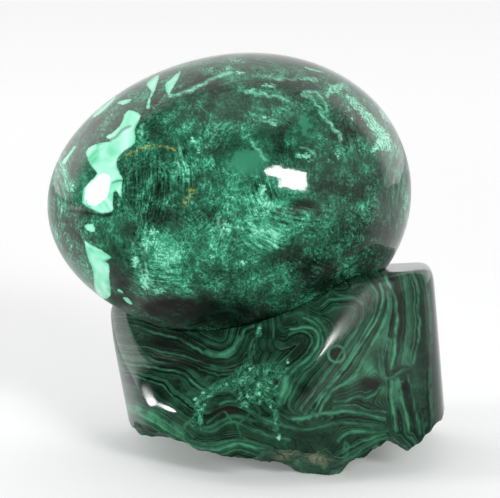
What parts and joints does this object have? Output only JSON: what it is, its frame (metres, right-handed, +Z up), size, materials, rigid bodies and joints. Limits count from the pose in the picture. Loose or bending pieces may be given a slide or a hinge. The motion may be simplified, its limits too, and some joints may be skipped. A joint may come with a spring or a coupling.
{
  "type": "malachite egg on a stone stand",
  "caption": "Polished malachite egg lying on its side in the hollow of a freeform malachite block with polished sides and a broken underside.",
  "frame": {"origin": "on the ground patch that the stand rests on, under the middle of the stand", "axes": "+X along the egg towards its blunt end, +Y to the back, +Z up"},
  "size_m": [0.1208, 0.0906, 0.1213],
  "materials": {
    "egg_malachite": "polished",
    "stand_malachite": "polished"
  },
  "bodies": {
    "root": {"egg": "egg_malachite", "stand": "stand_malachite"}
  },
  "joints": []
}
